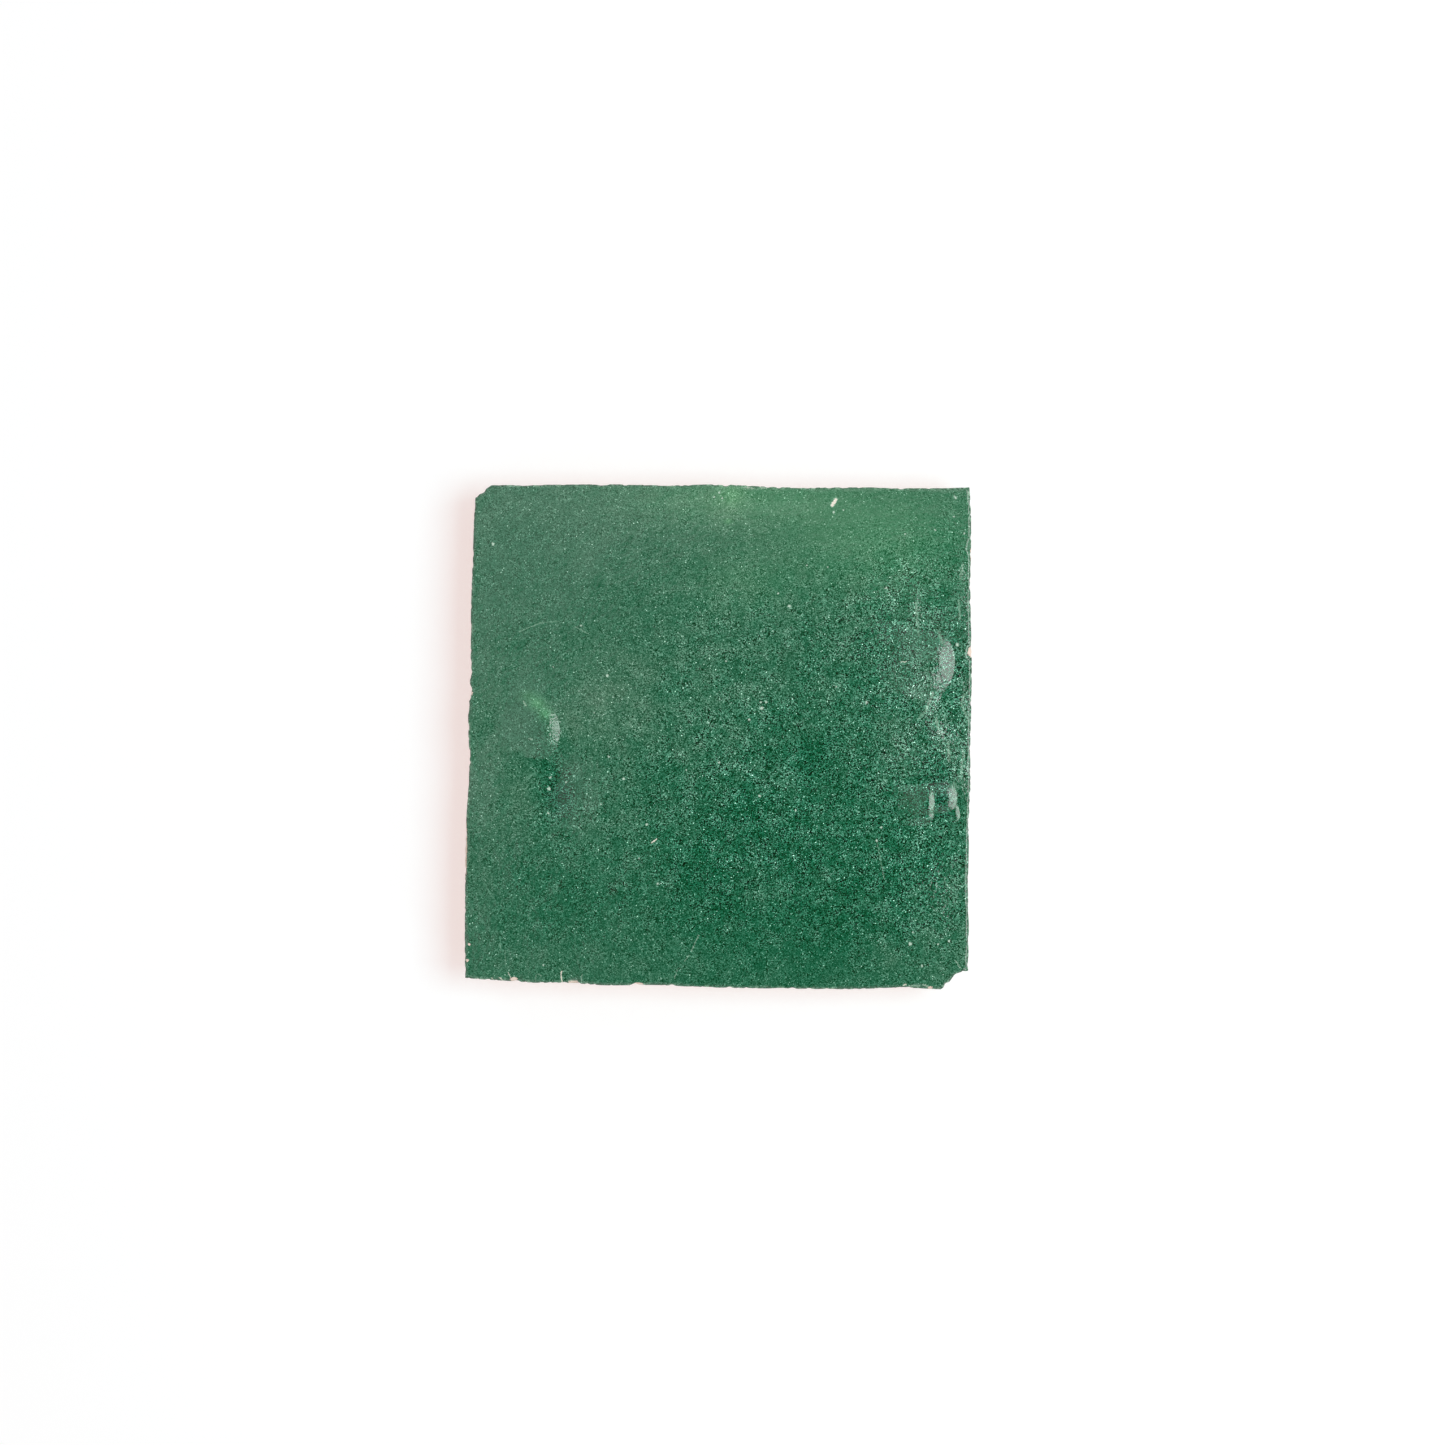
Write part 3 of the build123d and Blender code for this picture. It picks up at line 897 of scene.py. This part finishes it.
# %% Draw the brims of the glaze
brims = [
    # across, up, turn in degrees, half length, width to the right and left, rise
    (42.3, 14.0, -14, 6.8, 4.9, 6.2, 0.58),
    (42.3, 9.8, 4, 3.4, 2.6, 3.0, 0.17),
    (41.6, -13.6, 2, 4.1, 1.7, 3.6, 0.42),
    (45.5, -12.0, 6, 3.1, 2.25, 3.2, 0.37),
    (47.4, -15.2, 6, 1.8, 0.9, 0.9, 0.13),
    (-34.8, 0.8, -4, 5.2, 3.1, 3.1, 0.51),
    (-37.2, 5.2, 38, 3.2, 2.6, 2.6, 0.16),
]
brim_height = 0.0
for across, up, turn, half_length, right_width, left_width, rise in brims:
    angle = math.radians(turn)
    start = add(
        "VectorMath", {0: flat_place, 1: (across, up, 0)}, operation="SUBTRACT"
    ).outputs[0]
    side_way = (math.cos(angle) / right_width, math.sin(angle) / right_width, 0)
    long_way = (-math.sin(angle) / half_length, math.cos(angle) / half_length, 0)
    sideways, lengthways = [
        add("VectorMath", {0: start, 1: way}, operation="DOT_PRODUCT").outputs["Value"]
        for way in (side_way, long_way)
    ]
    crest = sums("SUBTRACT", 1.0, sums("MULTIPLY", lengthways, lengthways))
    crest = sums("MAXIMUM", crest, 0.0)
    left = sums("MINIMUM", sideways, 0.0)
    left = sums("MULTIPLY", left, left)
    fade_speed = -0.5 * (right_width / left_width) ** 2
    fading = sums("POWER", 2.72, sums("MULTIPLY", left, fade_speed))
    right = sums("MAXIMUM", sideways, 0.0)
    dome = sums("SUBTRACT", sums("MULTIPLY", crest, fading), sums("MULTIPLY", right, right))
    brim_height = sums("MULTIPLY_ADD", sums("MAXIMUM", dome, 0.0), rise, brim_height)
print(len(brims), "brims")

# %% [markdown]
# Last comes the feel: the glaze is smooth and glassy with a faint ripple, and
# in places it is wrinkled so sharply that each wrinkle catches the lamp. The
# dots are little craters, and the clay is dry and rough. The bump node turns
# heights in millimetres into shading.

# %% Give glaze and clay their feel
WRINKLE_HEIGHT = 0.13
RIPPLE_HEIGHT = 0.035
DOT_DEPTH = 0.10
SCRATCH_DEPTH = 0.03
wrinkle_noise = clouded(0.55, 1.0, 0.5)
wrinkle = sums("MULTIPLY", wrinkle_noise, sums("MULTIPLY", stored("wrinkled_and_glinting"), WRINKLE_HEIGHT))
ripple = sums("MULTIPLY", clouded(1.1, 2.0, 0.55), RIPPLE_HEIGHT)
glaze_height = sums("ADD", sums("ADD", wrinkle, ripple), brim_height)
glaze_height = sums("SUBTRACT", glaze_height, sums("MULTIPLY", dotted, DOT_DEPTH))
glaze_height = sums("SUBTRACT", glaze_height, sums("MULTIPLY", scratched_and_glinting, SCRATCH_DEPTH))
clay_height = sums("MULTIPLY", clouded(1.6, 8.0, 0.7), spread(chip, 0.0, 1.0, 1.3, 0.3))
clay_height = sums("SUBTRACT", clay_height, spread(grit, 0.08, 0.2, 0.1, 0.0))
feel = add(
    "Mix", {0: clay_shows, 2: glaze_height, 3: clay_height}, data_type="FLOAT"
).outputs[0]
bump = add("Bump", {"Height": feel, "Distance": MM, "Strength": 1.0}).outputs[0]

CLAY_ROUGHNESS = 0.88
glaze_gloss = spread(clouded(0.9, 2.0, 0.6), 0.3, 0.7, 0.08, 0.16)
gloss = add(
    "Mix", {0: clay_shows, 2: glaze_gloss, 3: CLAY_ROUGHNESS}, data_type="FLOAT"
).outputs[0]
GLASS_IOR = 1.5
shader = add(
    "BsdfPrincipled",
    {"Base Color": surface_colour, "Roughness": gloss, "Normal": bump, "IOR": GLASS_IOR},
)
add("OutputMaterial", {"Surface": shader.outputs[0]})
tile_mesh.materials.append(tile_finish)
print("the finish has", len(recipe.nodes), "nodes")

# %% [markdown]
# The skin now stands for the CAD tile: it rides on the same body, hides the
# plain node and takes its finish from the record's slot.

# %% Put the skin in the CAD tile's place
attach(tile, "root")
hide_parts("zellige_tile")
print("the skin stands for the CAD tile")

# %% [markdown]
# The tile lies on a white sheet. A camera sees a well-lit sheet as pure white
# with only a light shadow showing, so for the camera and for reflections the
# sheet takes less of its colour from the lamps and the rest from a glow of its
# own, and no glow reaches the tile. The two together are just white in full
# light, and slightly pink in the shadow, as the shadow beside warm clay is.
# Further out the lamps grow weak, so there the sheet fades to plain white and
# its edge doesn't show from the side.

# %% Lay the white sheet
SHEET = 3.0
bpy.ops.mesh.primitive_plane_add(size=SHEET)
sheet = bpy.context.object
sheet.name = "sheet"

sheet_finish = bpy.data.materials.new("white_sheet")
sheet_finish.use_nodes = True
recipe = sheet_finish.node_tree
recipe.nodes.clear()


def seen_rays():
    """1 for the camera's rays and for rays in reflections and glass."""
    rays = add("LightPath").outputs
    seen = sums("MAXIMUM", rays["Is Camera Ray"], rays["Is Glossy Ray"])
    return sums("MAXIMUM", seen, rays["Is Transmission Ray"])


PAPER_WHITE = (0.78, 0.78, 0.78, 1)
LAMP_SHARE = (0.33, 0.58, 0.62, 1)
GLOW_SHARE = (0.705, 0.485, 0.45, 1)
paper = add("BsdfDiffuse", {"Color": PAPER_WHITE})
seen_paper = add("BsdfDiffuse", {"Color": LAMP_SHARE})
glow = add("Emission", {"Color": GLOW_SHARE, "Strength": 1.0})
lit_paper = add("AddShader", {0: seen_paper.outputs[0], 1: glow.outputs[0]})
sheet_place = add("TexCoord").outputs["Object"]
metres_out = add("VectorMath", {0: sheet_place}, operation="LENGTH").outputs["Value"]
plain_white = add("Emission", {"Color": (1, 1, 1, 1), "Strength": 1.0})
far_out = spread(metres_out, 0.25, 0.6)
seen_sheet = add("MixShader", {0: far_out, 1: lit_paper.outputs[0], 2: plain_white.outputs[0]})
mixed = add("MixShader", {0: seen_rays(), 1: paper.outputs[0], 2: seen_sheet.outputs[0]})
add("OutputMaterial", {"Surface": mixed.outputs[0]})
sheet.data.materials.append(sheet_finish)
print("the sheet is", SHEET, "m wide")

# %% [markdown]
# The light is soft and comes from the right: one big square lamp, and a pale
# room all round that fills the shadows. The lamp's picture in the steep sides
# of the ridges makes the bright patches. Two fill lamps brighten the flanks
# and are not mirrored themselves. Two small windows are mirrored when the face
# is seen from the side, as gloss only shows by what it mirrors. The room is
# pure white to the camera and in reflections.

# %% Light it
world = bpy.data.worlds.new("pale_room")
bpy.context.scene.world = world
world.use_nodes = True
recipe = world.node_tree
recipe.nodes.clear()
ROOM_LIGHT = 0.48
dim = add("Background", {"Color": (1, 1, 1, 1), "Strength": ROOM_LIGHT})
bright = add("Background", {"Color": (1, 1, 1, 1), "Strength": 1.0})
room = add("MixShader", {0: seen_rays(), 1: dim.outputs[0], 2: bright.outputs[0]})
add("OutputWorld", {"Surface": room.outputs[0]})


def soft_lamp(name, side, distance, off_upright, bearing, glow_level):
    """A square lamp aimed at the tile; its own brightness is glow_level."""
    light = bpy.data.lights.new(name, "AREA")
    light.shape = "SQUARE"
    light.size = side
    light.energy = glow_level * math.pi * side**2
    lamp = bpy.data.objects.new(name, light)
    lean, turn = math.radians(off_upright), math.radians(bearing)
    way = Vector((
        math.sin(lean) * math.cos(turn),
        math.sin(lean) * math.sin(turn),
        math.cos(lean),
    ))
    lamp.location = way * distance
    lamp.rotation_mode = "QUATERNION"
    lamp.rotation_quaternion = way.to_track_quat("Z", "Y")
    bpy.context.scene.collection.objects.link(lamp)
    return lamp


AWAY = 1.2
soft_lamp("window_light", 0.72, AWAY, 31, 1, 5.0)
for name, off_upright, bearing in (("far_fill", 64, 135), ("near_fill", 70, 315)):
    fill = soft_lamp(name, 0.30, AWAY, off_upright, bearing, 2.3)
    fill.visible_glossy = False
soft_lamp("far_window", 0.09, AWAY, 66, 130, 3.2)
soft_lamp("near_window", 0.09, AWAY, 74, 310, 2.4)
print("one big lamp, two fills, two windows, and a room light of", ROOM_LIGHT)

# %% [markdown]
# Glass-smooth glaze shows what hangs over it. In the photograph the middle and
# the lower right are deep green, because there the dark camera stand is what
# is mirrored. A dark card beside the camera does the same. It takes part in
# reflections alone and throws no shadow.

# %% Hang the dark card
CARD_RADIUS = 0.26
CARD_PLACE = (0.11, -0.12, 1.25)
bpy.ops.mesh.primitive_circle_add(
    vertices=48, radius=CARD_RADIUS, fill_type="NGON", location=CARD_PLACE
)
card = bpy.context.object
card.name = "camera_stand"
card.visible_camera = card.visible_diffuse = card.visible_shadow = False
card.visible_transmission = card.visible_volume_scatter = False
card_finish = bpy.data.materials.new("dark_card")
card_finish.use_nodes = True
recipe = card_finish.node_tree
recipe.nodes.clear()
CLOTH = (0.04, 0.04, 0.04, 1)
black_cloth = add("Emission", {"Color": CLOTH, "Strength": 1.0})
add("OutputMaterial", {"Surface": black_cloth.outputs[0]})
card.data.materials.append(card_finish)
print("the card hangs", card.location.z, "m over the table")

# %% [markdown]
# A long lens from straight above keeps the square square. The frame is 289 mm
# wide at the height of the tile's face, and the tile sits a little below and
# left of its middle.

# %% Set up the camera
FIELD = 289.0
STAND_OFF = 1200.0
FACE_LEVEL = 10.4
ASIDE = 0.85
UPWARDS = 2.86
camera_data = bpy.data.cameras.new("camera")
camera_data.lens = camera_data.sensor_width * STAND_OFF / FIELD
camera = bpy.data.objects.new("camera", camera_data)
camera.location = (ASIDE * MM, UPWARDS * MM, (STAND_OFF + FACE_LEVEL) * MM)
bpy.context.scene.collection.objects.link(camera)
bpy.context.scene.camera = camera
bpy.context.scene.view_settings.view_transform = "Standard"
print("the lens is", round(camera_data.lens, 1), "mm long")
